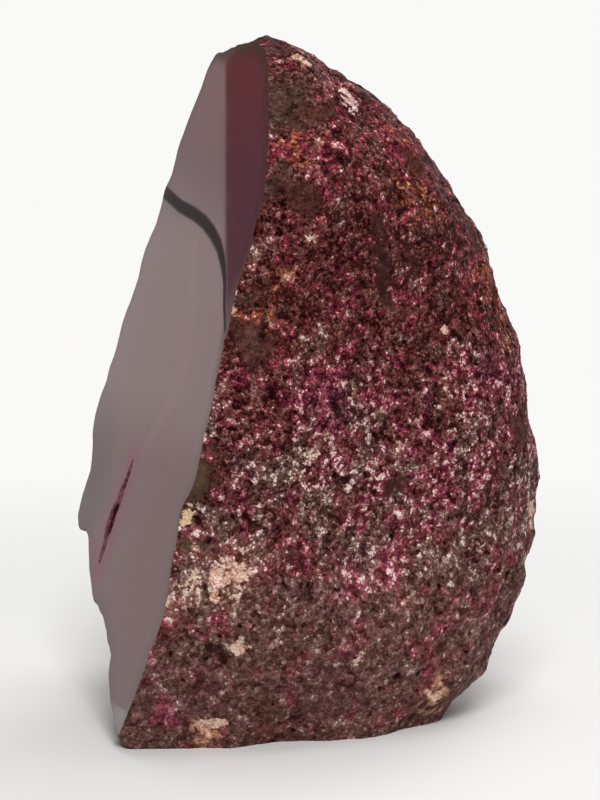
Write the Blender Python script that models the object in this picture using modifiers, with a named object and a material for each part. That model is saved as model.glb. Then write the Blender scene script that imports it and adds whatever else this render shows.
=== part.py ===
"""Pink agate geode: half of an agate nodule, standing upright on a flat sawn base.

The stone is one solid. Its front is a sawn and polished plane that leans back, its other sides are the
nodule's rough natural rind, and its underside is a small flat cut. A narrow slit, the last of the nodule's
hollow, opens in the polished face, and a crust of small crystals lines it.

Frame: metres, +Z up, the polished face looks along -Y, +X is to the right of someone who faces it. The origin is
at the centre of the model's box, on the base. Lengths below are in millimetres, angles in degrees.
"""

import math
import random

import bmesh
import bpy
import numpy as np
from mathutils import Matrix, Vector, noise

MM = 0.001
SEED = 7

# Polished face: a plane through the line y = FACE_FOOT_Y on the base, leaning back from the vertical.
FACE_LEAN = 13.0
FACE_FOOT_Y = -46.3

# The nodule, before it is cut: its top, and the depth under the base cut at which it would have closed.
APEX = (7.8, -13.7, 130.0)
UNDERSIDE = (2.0, -4.0, -16.0)

# Level sections of the nodule, from the base up. Each row is one height:
# height, right edge and left edge of the polished face, right side, left side, back, and the depth (y) at which
# the stone is widest.
SECTIONS = (
    (0.0, 23.5, 18.0, 29.5, -20.0, 27.5, -8.0),
    (4.0, 24.0, 18.5, 30.0, -24.0, 28.5, -10.0),
    (9.0, 26.5, 10.5, 32.5, -28.0, 32.5, -12.0),
    (16.0, 30.3, 8.0, 35.0, -32.5, 36.9, -15.0),
    (21.0, 32.5, -9.0, 37.0, -35.0, 40.1, -17.0),
    (28.0, 34.4, -20.5, 38.0, -38.5, 43.0, -19.0),
    (34.0, 33.6, -35.5, 37.5, -41.0, 45.0, -20.0),
    (45.0, 34.0, -34.0, 38.5, -42.5, 45.8, -20.0),
    (55.0, 35.4, -39.8, 40.0, -43.0, 43.6, -19.0),
    (66.0, 36.3, -36.0, 40.3, -40.5, 40.5, -18.0),
    (80.0, 35.4, -31.6, 39.5, -36.0, 35.0, -16.0),
    (92.0, 38.3, -27.9, 41.8, -31.8, 28.3, -14.0),
    (103.0, 38.8, -23.1, 41.8, -27.0, 20.6, -13.0),
    (113.0, 33.6, -18.6, 36.5, -21.8, 13.0, -12.0),
    (120.0, 29.5, -14.8, 32.0, -17.5, 4.3, -12.0),
    (125.0, 25.5, -12.0, 27.0, -14.0, -4.3, -12.5),
    (128.0, 17.5, -4.8, 19.0, -7.0, -9.5, -13.5),
)
# Where a level section's shoulders lie between its side and its back: 0.71 is an ellipse, 1 a square corner.
SHOULDER = 0.76
# Round the foot, and over the top, the rind turns in before it meets the polished plane.
FOOT_SET_BACK = 3.5
FOOT_HEIGHT = 5.0
TOP_SET_BACK = 6.0
TOP_FROM = 126.5

# Directions, seen from above, in which a section's named points are placed. The rest of the turn is in front of
# the polished plane and is sawn off.
EDGE_TURN = 56.0
OVERCUT_TURN = 8.0
OVERCUT = 6.0

# Fineness: cells along each edge of the cube that is rounded into the nodule, the even mesh that carries the
# relief, and the triangles that the uncut nodule is left with.
CELLS = 40
VOXEL = 2.0
JITTER = 0.2
RIND_TRIANGLES = 9600

# Relief of the rind: size of the form, height of the form.
RELIEF = ((34.0, 1.3), (13.0, 1.1), (5.5, 0.75))
# Named hollows and bosses: centre, radius, depth (a boss is negative).
FORMS = (
    ((-29.0, -39.6, 27.0), 5.0, 5.5),   # chipped corner at the left edge of the face
    ((12.0, -43.0, 25.0), 5.0, 1.5),    # bite in the lower left edge
    ((36.0, -34.0, 51.0), 4.0, -1.6),   # boss on the right edge of the face
    ((35.0, -36.0, 43.0), 3.5, 1.5),    # chip below it
    ((33.0, -32.0, 18.0), 3.5, 2.2),    # pit low on the right
    ((28.0, -13.0, 1.0), 6.0, 2.5),     # hollow over the base, on the right
    ((38.0, 2.0, 60.0), 9.0, 1.4),      # shallow basin in the middle of the right side
    ((39.0, -8.0, 92.0), 7.0, -1.0),    # swelling high on the right
    ((22.0, 16.0, 8.0), 7.0, -1.5),     # lip over the base, at the back
    ((0.0, 38.0, 70.0), 9.0, 1.2),      # basins and swellings of the back
    ((-18.0, 34.0, 40.0), 10.0, -1.8),
    ((-36.0, 8.0, 66.0), 8.0, 1.6),
    ((-12.0, 16.0, 104.0), 8.0, 1.3),
    ((14.0, 22.0, 92.0), 8.0, -0.8),
    ((-26.0, 22.0, 16.0), 7.0, 1.5),
)
SNAP = 0.7

# The slit in the polished face: lobes along a slanting line. Centre x, centre height, half length, half width,
# depth. The lobes tip over to the left, going down.
SLIT_LOBES = (
    (-6.4, 46.4, 3.8, 1.25, 3.6),
    (-8.5, 42.0, 4.6, 1.8, 5.0),
    (-11.2, 36.9, 4.8, 2.5, 7.0),
    (-12.3, 31.8, 3.6, 1.35, 3.6),
)
SLIT_TILT = 20.0
GAP = 0.32
CRUST_TOP = 1.6
CRYSTAL_COUNT = 64
CRYSTAL_SIDES = 6
CRYSTAL_RADIUS = (0.45, 0.9)
CRYSTAL_TOP = (0.4, 1.1)
CRYSTAL_ROOT = 0.6
CRYSTAL_LEAN = 14.0

STONE_COLOUR = (0.16, 0.05, 0.07, 1.0)
CRYSTAL_COLOUR = (0.30, 0.02, 0.11, 1.0)


def face_y(height):
    """Depth of the polished plane at a height."""
    return FACE_FOOT_Y + height * math.tan(math.radians(FACE_LEAN))


def face_normal():
    lean = math.radians(FACE_LEAN)
    return Vector((0.0, -math.cos(lean), math.sin(lean)))


def clear_scene():
    for obj in list(bpy.data.objects):
        bpy.data.objects.remove(obj, do_unlink=True)


def collection(name):
    made = bpy.data.collections.new(name)
    bpy.context.scene.collection.children.link(made)
    return made


def material(name, colour, roughness):
    made = bpy.data.materials.new(name)
    made.use_nodes = True
    shader = made.node_tree.nodes["Principled BSDF"]
    shader.inputs["Base Color"].default_value = colour
    shader.inputs["Roughness"].default_value = roughness
    shader.inputs["Metallic"].default_value = 0.0
    return made


def object_from(bm, name, into):
    mesh = bpy.data.meshes.new(name)
    bm.to_mesh(mesh)
    bm.free()
    made = bpy.data.objects.new(name, mesh)
    into.objects.link(made)
    return made


def fixed_mesh(obj):
    """The object's mesh with its modifiers applied."""
    bpy.context.view_layer.update()
    evaluated = obj.evaluated_get(bpy.context.evaluated_depsgraph_get())
    return bpy.data.meshes.new_from_object(evaluated)


def spline(knots, values, at):
    """Smooth curve through values at rising knots. values may be one number a knot, or one row for each of at."""
    knots = np.asarray(knots, float)
    values = np.asarray(values, float)
    slopes = np.empty_like(values)
    slopes[0] = (values[1] - values[0]) / (knots[1] - knots[0])
    slopes[-1] = (values[-1] - values[-2]) / (knots[-1] - knots[-2])
    span = (knots[2:] - knots[:-2]).reshape((-1,) + (1,) * (values.ndim - 1))
    slopes[1:-1] = (values[2:] - values[:-2]) / span
    k = np.clip(np.searchsorted(knots, at, side="right") - 1, 0, len(knots) - 2)
    width = knots[k + 1] - knots[k]
    t = (at - knots[k]) / width
    own = (k,) if values.ndim == 1 else (k, np.arange(len(at)))
    after = (k + 1,) + own[1:]
    return (
        (2 * t**3 - 3 * t**2 + 1) * values[own]
        + (t**3 - 2 * t**2 + t) * width * slopes[own]
        + (3 * t**2 - 2 * t**3) * values[after]
        + (t**3 - t**2) * width * slopes[after]
    )


def rounded_cube():
    """Unit ball of even quads, from a cube."""
    bm = bmesh.new()
    bmesh.ops.create_cube(bm, size=2.0)
    bmesh.ops.subdivide_edges(bm, edges=bm.edges[:], cuts=CELLS - 1, use_grid_fill=True)
    for vert in bm.verts:
        vert.co = Vector([math.tan(c * math.pi / 4) for c in vert.co]).normalized()
    return bm


def nodule_points(ball):
    """Moves the points of a unit ball onto the uncut nodule."""
    middle = (APEX[2] + UNDERSIDE[2]) / 2
    reach = (APEX[2] - UNDERSIDE[2]) / 2
    rows = np.array(SECTIONS)
    latitude = np.arcsin(np.clip(ball[:, 2], -1.0, 1.0))
    levels = np.arcsin((rows[:, 0] - middle) / reach)
    levels = np.concatenate(([-math.pi / 2], levels, [math.pi / 2]))
    height = middle + reach * ball[:, 2]

    def up(column, low, high):
        return spline(levels, np.concatenate(([low], rows[:, column], [high])), latitude)

    right_edge, left_edge, right, left = (up(c, UNDERSIDE[0], APEX[0]) for c in (1, 2, 3, 4))
    back, widest = (up(c, UNDERSIDE[1], APEX[1]) for c in (5, 6))
    plane = FACE_FOOT_Y + height * math.tan(math.radians(FACE_LEAN))
    set_back = FOOT_SET_BACK * np.clip(1.0 - height / FOOT_HEIGHT, 0.0, 1.0)
    set_back += TOP_SET_BACK * np.clip((height - TOP_FROM) / (APEX[2] - TOP_FROM), 0.0, 1.0)
    # Near the two ends, where a section is small, its front edge closes in on its middle.
    closing = np.clip(np.cos(latitude) / 0.25, 0.0, 1.0)
    edge_y = widest + (plane + set_back - widest) * closing

    middle_x = (right + left) / 2
    right_edge_at = np.stack([right_edge, edge_y], -1)
    left_edge_at = np.stack([left_edge, edge_y], -1)
    right_at = np.stack([right, widest], -1)
    left_at = np.stack([left, widest], -1)
    shoulder_y = widest + SHOULDER * (back - widest)
    right_shoulder = np.stack([middle_x + SHOULDER * (right - middle_x), shoulder_y], -1)
    left_shoulder = np.stack([middle_x + SHOULDER * (left - middle_x), shoulder_y], -1)
    back_at = np.stack([middle_x, back], -1)

    chord = np.maximum(right_edge - left_edge, 0.0)
    over = np.minimum(OVERCUT, 0.35 * chord)[:, None]

    def beyond(edge, side):
        way = edge - side
        length = np.maximum(np.linalg.norm(way, axis=1, keepdims=True), 1e-6)
        return edge + way / length * over

    right_over = beyond(right_edge_at, right_at)
    left_over = beyond(left_edge_at, left_at)

    named = [right_edge_at, right_at, right_shoulder, back_at, left_shoulder, left_at, left_edge_at]
    turns = [-EDGE_TURN, 0.0, 45.0, 90.0, 135.0, 180.0, 180.0 + EDGE_TURN]
    turn = (np.degrees(np.arctan2(ball[:, 1], ball[:, 0])) + 90.0) % 360.0 - 90.0
    rear = np.clip(turn, turns[0], turns[-1])
    plan = np.stack([spline(turns, [p[:, axis] for p in named], rear) for axis in (0, 1)], -1)

    # In front of the edges: a short straight run over the plane, then straight across.
    def mix(a, b, share):
        share = np.clip(share, 0.0, 1.0)[:, None]
        return a * (1 - share) + b * share

    ahead = np.where(turn < -EDGE_TURN, -EDGE_TURN - turn, 0.0)
    behind = np.where(turn > 180.0 + EDGE_TURN, turn - 180.0 - EDGE_TURN, 0.0)
    half_front = 90.0 - EDGE_TURN - OVERCUT_TURN
    front_middle = (right_over + left_over) / 2
    for past, edge, out in ((ahead, right_edge_at, right_over), (behind, left_edge_at, left_over)):
        run = mix(edge, out, past / OVERCUT_TURN)
        run = mix(run, front_middle, (past - OVERCUT_TURN) / half_front)
        plan = np.where((past > 0)[:, None], run, plan)
    return np.column_stack([plan, height])


def relief(bm):
    """Lumps and hollows of the rind, along the surface's normal. Points are in millimetres."""
    bm.normal_update()
    moves = []
    for vert in bm.verts:
        push = 0.0
        for layer, (size, tall) in enumerate(RELIEF):
            place = vert.co / size + Vector((11.3 * layer, 4.7, -2.9 * layer))
            push += tall * noise.fractal(place, 0.7, 2.0, 2)
        for centre, radius, depth in FORMS:
            away = (vert.co - Vector(centre)).length / radius
            push -= depth * math.exp(-(away**2))
        moves.append(vert.normal * push)
    rng = random.Random(SEED)
    for vert, move in zip(bm.verts, moves):
        sway = Vector([rng.uniform(-JITTER, JITTER) for _ in range(3)])
        vert.co += move + sway


def cut_flat(bm, point, normal):
    """Saws off what lies past a plane and closes the cut. Points just beside the plane are moved onto it."""
    for vert in bm.verts:
        gap = (vert.co - point).dot(normal)
        if abs(gap) < SNAP:
            vert.co -= normal * gap
    geometry = bm.verts[:] + bm.edges[:] + bm.faces[:]
    bmesh.ops.bisect_plane(bm, geom=geometry, dist=1e-5, plane_co=point, plane_no=normal, clear_outer=True)
    rim = [edge for edge in bm.edges if edge.is_boundary]
    bmesh.ops.holes_fill(bm, edges=rim, sides=0)


def modified(bm, kind, **settings):
    """The mesh with one modifier applied."""
    carrier = object_from(bm, "carrier", bpy.context.scene.collection)
    modifier = carrier.modifiers.new(kind.lower(), kind)
    for name, value in settings.items():
        setattr(modifier, name, value)
    mesh = fixed_mesh(carrier)
    bpy.data.objects.remove(carrier, do_unlink=True)
    made = bmesh.new()
    made.from_mesh(mesh)
    return made


def stone_mesh():
    bm = rounded_cube()
    ball = np.array([vert.co[:] for vert in bm.verts])
    for vert, place in zip(bm.verts, nodule_points(ball)):
        vert.co = place
    bm = modified(bm, "REMESH", mode="VOXEL", voxel_size=VOXEL)
    relief(bm)
    bm = modified(bm, "DECIMATE", ratio=RIND_TRIANGLES / (2 * len(bm.faces)))
    cut_flat(bm, Vector((0.0, FACE_FOOT_Y, 0.0)), face_normal())
    cut_flat(bm, Vector((0.0, 0.0, 0.0)), Vector((0.0, 0.0, -1.0)))
    bmesh.ops.dissolve_degenerate(bm, dist=0.02, edges=bm.edges[:])
    flats = [face for face in bm.faces if len(face.verts) > 4]
    bmesh.ops.triangulate(bm, faces=flats)
    bmesh.ops.recalc_face_normals(bm, faces=bm.faces[:])
    return bm


def face_matrix(x, height, tilt=0.0):
    """Place on the polished face: local X to the right, local Y up the face, local Z out of it."""
    place = Matrix.Translation(Vector((x, face_y(height), height)))
    upright = Matrix.Rotation(math.radians(90.0 - FACE_LEAN), 4, "X")
    return place @ upright @ Matrix.Rotation(math.radians(-tilt), 4, "Z")


def slit_blob(name, into, shrink):
    """The slit's lobes as one closed solid, each face moved in by shrink."""
    lobes = []
    for number, (x, height, length, width, depth) in enumerate(SLIT_LOBES):
        bm = bmesh.new()
        bmesh.ops.create_icosphere(bm, subdivisions=2, radius=1.0)
        size = Matrix.Diagonal((width - shrink, length - shrink, depth - shrink, 1.0))
        bmesh.ops.transform(bm, matrix=face_matrix(x, height, SLIT_TILT) @ size, verts=bm.verts[:])
        bmesh.ops.scale(bm, vec=(MM, MM, MM), verts=bm.verts[:])
        lobes.append(object_from(bm, f"{name}_{number}", into))
    for lobe in lobes[1:]:
        join = lobes[0].modifiers.new("join", "BOOLEAN")
        join.operation = "UNION"
        join.object = lobe
    return lobes[0]


def crystals_mesh():
    """Six-sided points standing on the floor of the slit, from seeded places."""
    rng = random.Random(SEED)
    bm = bmesh.new()
    areas = [length * width for _, _, length, width, _ in SLIT_LOBES]
    for _ in range(CRYSTAL_COUNT):
        x, height, length, width, depth = rng.choices(SLIT_LOBES, weights=areas)[0]
        # The slit narrows inwards, so the room for a crystal is measured at its foot.
        foot = -(CRUST_TOP + CRYSTAL_ROOT)
        narrowing = math.sqrt(1.0 - ((GAP - foot) / depth) ** 2)
        radius = min(rng.uniform(*CRYSTAL_RADIUS), 0.8 * (width - GAP) * narrowing)
        room_x = (width - GAP) * narrowing - radius
        room_y = (length - GAP) * narrowing - radius
        turn = rng.uniform(0.0, 2 * math.pi)
        out = math.sqrt(rng.random())
        across = room_x * out * math.cos(turn)
        along = room_y * out * math.sin(turn)
        top = -rng.uniform(*CRYSTAL_TOP)
        neck = top - 0.9 * radius
        lean = Matrix.Rotation(math.radians(rng.uniform(-CRYSTAL_LEAN, CRYSTAL_LEAN)), 4, "Y")
        spin = Matrix.Rotation(rng.uniform(0.0, math.pi), 4, "Z")
        at = face_matrix(x, height, SLIT_TILT) @ Matrix.Translation((across, along, 0.0))
        frame = at @ Matrix.Translation((0, 0, foot)) @ lean @ spin @ Matrix.Translation((0, 0, -foot))
        shaft = bmesh.ops.create_cone(
            bm, cap_ends=True, segments=CRYSTAL_SIDES, radius1=radius, radius2=radius, depth=neck - foot,
            matrix=frame @ Matrix.Translation((0, 0, (neck + foot) / 2)),
        )
        highest = max(shaft["verts"], key=lambda vert: (frame.inverted() @ vert.co).z)
        cap = max(highest.link_faces, key=lambda face: len(face.verts))
        tip = bmesh.ops.poke(bm, faces=[cap])["verts"][0]
        tip.co = frame @ Vector((0.0, 0.0, top))
    bmesh.ops.scale(bm, vec=(MM, MM, MM), verts=bm.verts[:])
    return bm


def crust(parts, cutters):
    """Crust of crystals that lines the slit: a bed under the polished plane, with points standing on it."""
    bed = bpy.data.objects.new("bed", fixed_mesh(slit_blob("bed_lobe", cutters, GAP)))
    cutters.objects.link(bed)
    bm = bmesh.new()
    bm.from_mesh(bed.data)
    floor = Vector((0.0, FACE_FOOT_Y, 0.0)) * MM - face_normal() * CRUST_TOP * MM
    geometry = bm.verts[:] + bm.edges[:] + bm.faces[:]
    bmesh.ops.bisect_plane(bm, geom=geometry, dist=1e-8, plane_co=floor, plane_no=face_normal(), clear_outer=True)
    bmesh.ops.holes_fill(bm, edges=[edge for edge in bm.edges if edge.is_boundary], sides=0)
    bmesh.ops.recalc_face_normals(bm, faces=bm.faces[:])
    made = object_from(bm, "druzy_crystals", parts)
    points = object_from(crystals_mesh(), "crystal_points", cutters)
    grow = made.modifiers.new("grow", "BOOLEAN")
    grow.operation = "UNION"
    grow.object = points
    grow.use_self = True
    made.data.materials.append(material("druzy crystal", CRYSTAL_COLOUR, 0.2))
    return made


def stone(parts, cutters):
    bm = stone_mesh()
    bmesh.ops.scale(bm, vec=(MM, MM, MM), verts=bm.verts[:])
    made = object_from(bm, "agate_stone", parts)
    made.data.materials.append(material("dyed agate", STONE_COLOUR, 0.5))
    slit = bpy.data.objects.new("slit", fixed_mesh(slit_blob("slit_lobe", cutters, 0.0)))
    cutters.objects.link(slit)
    opening = made.modifiers.new("slit", "BOOLEAN")
    opening.operation = "DIFFERENCE"
    opening.object = slit
    return made


def centre_on_base(objects):
    """Puts the stone's box centre over the origin."""
    corners = [Vector(corner) for corner in objects[0].bound_box]
    low = Vector([min(c[axis] for c in corners) for axis in range(3)])
    high = Vector([max(c[axis] for c in corners) for axis in range(3)])
    shift = Vector((-(low.x + high.x) / 2, -(low.y + high.y) / 2, -low.z))
    for obj in objects:
        obj.location = obj.location + shift
    return shift


def hide(cutters):
    for obj in cutters.objects:
        obj.hide_render = True
        obj.display_type = "WIRE"


def main():
    clear_scene()
    parts = collection("pink agate geode")
    cutters = collection("cutters")
    solid = stone(parts, cutters)
    lining = crust(parts, cutters)
    bpy.context.view_layer.update()
    shift = centre_on_base([solid, lining] + list(cutters.objects))
    print("moved onto the box centre by, mm:", [round(c / MM, 2) for c in shift])
    hide(cutters)


main()
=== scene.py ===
"""Looks of the pink agate geode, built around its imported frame.

The stone is remade as one fine mesh: its rind gets real grains and pits, and is then sawn by the same two
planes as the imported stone. Loose grains of the rind are small faceted solids, joined into one piece a colour.
Colours with a place on the stone, such as a cream patch, are vertex attributes, made from the named spots.

Frame: metres, +Z up, the polished face looks along -Y and leans back. Lengths below are in millimetres.
"""

import math
from types import SimpleNamespace

import bmesh
import bpy
import numpy as np
from mathutils import Matrix, Vector, geometry, noise
from mathutils.kdtree import KDTree


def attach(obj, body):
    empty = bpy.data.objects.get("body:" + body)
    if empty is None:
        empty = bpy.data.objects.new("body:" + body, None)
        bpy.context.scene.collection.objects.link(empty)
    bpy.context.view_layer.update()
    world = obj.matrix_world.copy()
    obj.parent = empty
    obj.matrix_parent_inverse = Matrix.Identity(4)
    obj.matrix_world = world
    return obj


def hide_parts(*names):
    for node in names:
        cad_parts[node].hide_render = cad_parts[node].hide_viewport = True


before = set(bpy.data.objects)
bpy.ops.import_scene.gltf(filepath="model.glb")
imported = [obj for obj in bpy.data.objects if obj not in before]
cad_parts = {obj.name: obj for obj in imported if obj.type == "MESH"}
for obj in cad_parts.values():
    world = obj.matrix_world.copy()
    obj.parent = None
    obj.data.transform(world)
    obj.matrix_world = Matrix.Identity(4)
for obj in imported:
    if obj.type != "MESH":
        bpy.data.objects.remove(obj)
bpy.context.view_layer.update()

MM = 0.001
SEED = 11

# View: the side of the stone and its polished face at a grazing angle.
VIEW_TARGET = (12.66, -7.59, 62.0)
VIEW_AZIMUTH = 71.0
VIEW_ELEVATION = 5.0
VIEW_DISTANCE = 465.0
VIEW_LENS = 110.75
SENSOR = 36.0

# The polished plane: its angle back from the upright, and its depth (y) at the height of the base.
FACE_LEAN = math.radians(13.0)
FACE_FOOT = -46.886
# The two ends of the slit in it, as x and height.
SLIT_TOP = (-5.4, 49.0)
SLIT_FOOT = (-12.6, 29.2)
# Within this distance of the slit the agate is a little paler. It fades over the second length.
INNER_RADIUS = 50.6
INNER_FADE = 4.0

# Mesh of the stone: how far the sawn sides are built out before the cut, and the sizes of a cell of the rind,
# of the polished face and of the base.
BUILD_OUT = 3.0
FINE_CELL = 0.66
FACE_GRID = 1.0
BASE_GRID = 3.0

# How far the foot of the rind draws in at the back, from what height down, and how far back that is in full.
UNDERCUT_DEPTH = 3.4
UNDERCUT_HEIGHT = 13.0
UNDERCUT_BEHIND = 13.0
# How far the very top draws in, from what height up, and over how much height.
TOP_INSET = 0.9
TOP_INSET_FROM = 126.0
TOP_INSET_RISE = 5.0

# The pink streak inside the agate, as places (x, z) on the polished face and half widths.
STREAK = (
    (4.1, 92.2), (7.1, 86.6), (9.3, 81.1), (12.2, 75.6), (14.4, 70.3), (13.4, 65.6), (8.6, 60.5), (3.1, 54.4),
    (-1.4, 51.1), (-5.8, 48.5),
)
STREAK_WIDTH = (1.0, 2.2, 3.2, 4.0, 4.2, 3.6, 2.8, 2.2, 1.8, 1.2)

# A dark curved line on the polished face, in the same way.
BAND = (
    (-28.1, 102.1), (-21.9, 100.7), (-10.9, 98.4), (-0.2, 97.0), (7.4, 95.6), (13.9, 93.8), (19.9, 91.5),
    (24.6, 88.6), (28.1, 85.5), (30.3, 82.0), (34.4, 76.9),
)
BAND_WIDTH = (1.5, 1.5, 1.5, 1.5, 1.5, 1.5, 1.4, 1.3, 1.0, 0.8, 0.6)

# The grain of the rind calms down from the first height to the second one, by these shares.
CALM_HEIGHTS = (66.0, 8.0)
CALM_RELIEF = 0.35
CALM_TONES = 0.45

# Between these heights the lower rind sets in: it has more light grains and a cooler red.
LOW_HEIGHTS = (84.0, 46.0)

# Places on the rind with a colour of their own: x, y, z, radius. These have soft, warped edges.
SPOTS = {
    "cream": (
        (36, -28, 80, 2.2), (37, -31, 33, 6), (36, -36, 30, 5), (37, -30, 31, 5), (38, -27, 33, 5),
        (35, -27, 20, 3.2), (40, -16, 54, 2.8), (40, -12, 56, 2.4), (18, 38, 38, 5), (31, -38, 21, 1.6),
        (29, -40, 15, 1.5), (35, -35, 38, 2), (38, -25, 78, 1.5), (30, -29, 5, 1.6), (28, 15, 6, 2.4),
        (39, -25, 91, 2), (42, -15, 94, 2.5), (35, -3, 17, 2.2), (-30, 20, 84, 6), (-8, 40, 58, 7),
        (-40, -8, 40, 6), (6, 36, 24, 7), (-20, 6, 106, 4),
    ),
    "peach": (
        (26, -12, 125, 2.6), (28, -31, 4, 3.6), (28, 15, 6, 4.5), (40, -21, 87, 2), (37, -28, 35, 2),
        (-16, 30, 8, 6), (-34, 10, 90, 5),
    ),
    "olive": (
        (32, -17, 117, 6.5), (36, -27, 82, 2.5), (39, -24, 100, 2.5), (40, -22, 103, 3), (34, -33, 39, 2.5),
        (37, -25, 84, 2), (21, -14, 127, 2.5), (39, -22, 106, 2), (-20, -10, 110, 6), (-6, 32, 80, 7),
    ),
    "orange": (
        (39, -24, 80, 4), (39, 3, 102, 4), (37, 8, 99, 4), (36, -18, 112, 2.5), (38, 7, 101, 5),
        (33, 5, 111, 4.5), (37, -17, 109, 3.5), (40, -21, 87, 2.4), (28, 24, 84, 6), (24, 30, 75, 5),
        (38, -16, 110, 3), (34, -33, 37, 2), (38, -5, 67, 1.2), (-30, 22, 60, 6), (-10, 22, 98, 5),
    ),
    "smooth": (
        (12, -15, 129, 6), (21, -14, 127, 2.5), (34, -11, 116, 3.5), (43, -18, 100, 3.8), (42, -3, 92, 2),
        (40, -1, 87, 2.2), (37, 0, 82, 2), (38, 4, 91, 2), (36, 6, 84, 2), (41, -3, 96, 2),
        (35, 7, 106, 4), (36, -35, 51, 5), (37, 3, 49, 3), (29, 30, 57, 4.5), (39, -25, 74, 4),
        (27, 21, 94, 4), (-38, 2, 78, 4), (-37, -3, 72, 3.5), (3, 39, 46, 4), (-4, 40, 40, 3.5),
        (-26, 28, 36, 5), (-20, 30, 62, 4),
    ),
    "magenta": (
        (34, -8, 115, 2.5), (38, -16, 110, 7), (33, 5, 111, 7), (39, -8, 65, 8), (40, -17, 69, 5),
        (35, -2, 34, 8), (35, 14, 49, 7), (29, 22, 88, 4), (-20, 24, 90, 10), (-36, 12, 50, 12),
        (10, 36, 62, 12), (-14, 34, 24, 10),
    ),
    "violet": (
        (30, -37, 12, 9), (40, -11, 64, 7), (32, -8, 10, 9), (31, 26, 66, 8), (-30, -20, 14, 12),
        (-6, 30, 12, 12),
    ),
}
# The same, with clear edges. The dark pits among them are painted shade, with no hole modelled for them.
CRISP_SPOTS = {
    "chip": ((33.5, -35.5, 45.4, 1.1), (33, -35.8, 43.8, 1.3), (32.6, -36, 42.6, 0.9)),
    "stain": (
        (42, -3, 96, 1.5), (42, -3, 93.5, 1.8), (41.5, -2.5, 91, 1.7), (40.5, -1.5, 88.5, 2),
        (39, -1, 86, 1.9), (38, -0.5, 84, 1.7), (37, 0, 82, 1.6), (38, 4, 91.5, 1.4),
        (37, 5, 89, 1.5), (36.5, 5.5, 86.5, 1.4), (39, -8, 75, 1.6), (37.5, 2, 48, 2.2),
    ),
    "pit": (
        (33, -31, 19.8, 1.5), (36, -36, 27, 1), (39.5, -10, 62, 1.2), (30.5, 25, 62, 1.5),
    ),
    "peel": (
        (28.5, -31.5, 4.2, 1.6), (29.2, -30, 4.8, 1.5), (30, -28, 5, 1.1), (28, 15, 6, 1.9),
        (28.5, 12.5, 4.8, 1.5), (26, -12.5, 126.2, 1.3), (26.5, -10.5, 125.2, 1.2), (18, 38, 40, 1.7),
        (17, 39, 37, 1.5), (35, -27, 20, 1.6), (35.5, -25, 20.5, 1.1), (38, -5, 67, 0.8),
        (35, 13, 76, 0.9), (37, -31, 33, 1.9), (38, -28, 33.5, 1.5),
        (37, -32, 29.5, 1.3), (35.8, -28.5, 80.5, 1.2),
        (-34, 10, 92, 2.2), (-16, 30, 8, 2.2), (-8, 40, 58, 2.4), (6, 36, 24, 2),
    ),
    "frost": (
        (30, -5, 119, 1.7), (31, -4.5, 117.5, 2), (32, -4, 115.6, 1.7), (27.5, -8, 123, 1.3),
    ),
    "lump": (
        (35.5, -34.5, 52.5, 2), (35, -34.8, 50, 2.2), (33.6, -35.2, 47.8, 1.4), (32, -36, 38.5, 2.2),
    ),
}
# How far, and over what length, the spots' outlines are bent. The crisp ones bend by a share of it.
SPOT_WARP = 3.4
SPOT_WARP_SIZE = 4.0
CRISP_WARP = 0.5


def put(name, data):
    """A new object with this data, in the scene."""
    made = bpy.data.objects.new(name, data)
    bpy.context.scene.collection.objects.link(made)
    return made


def material(name):
    """A new material with only a Principled shader, and a Graph to build on it."""
    made = bpy.data.materials.new(name)
    made.use_nodes = True
    return made, Graph(made.node_tree)


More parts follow.
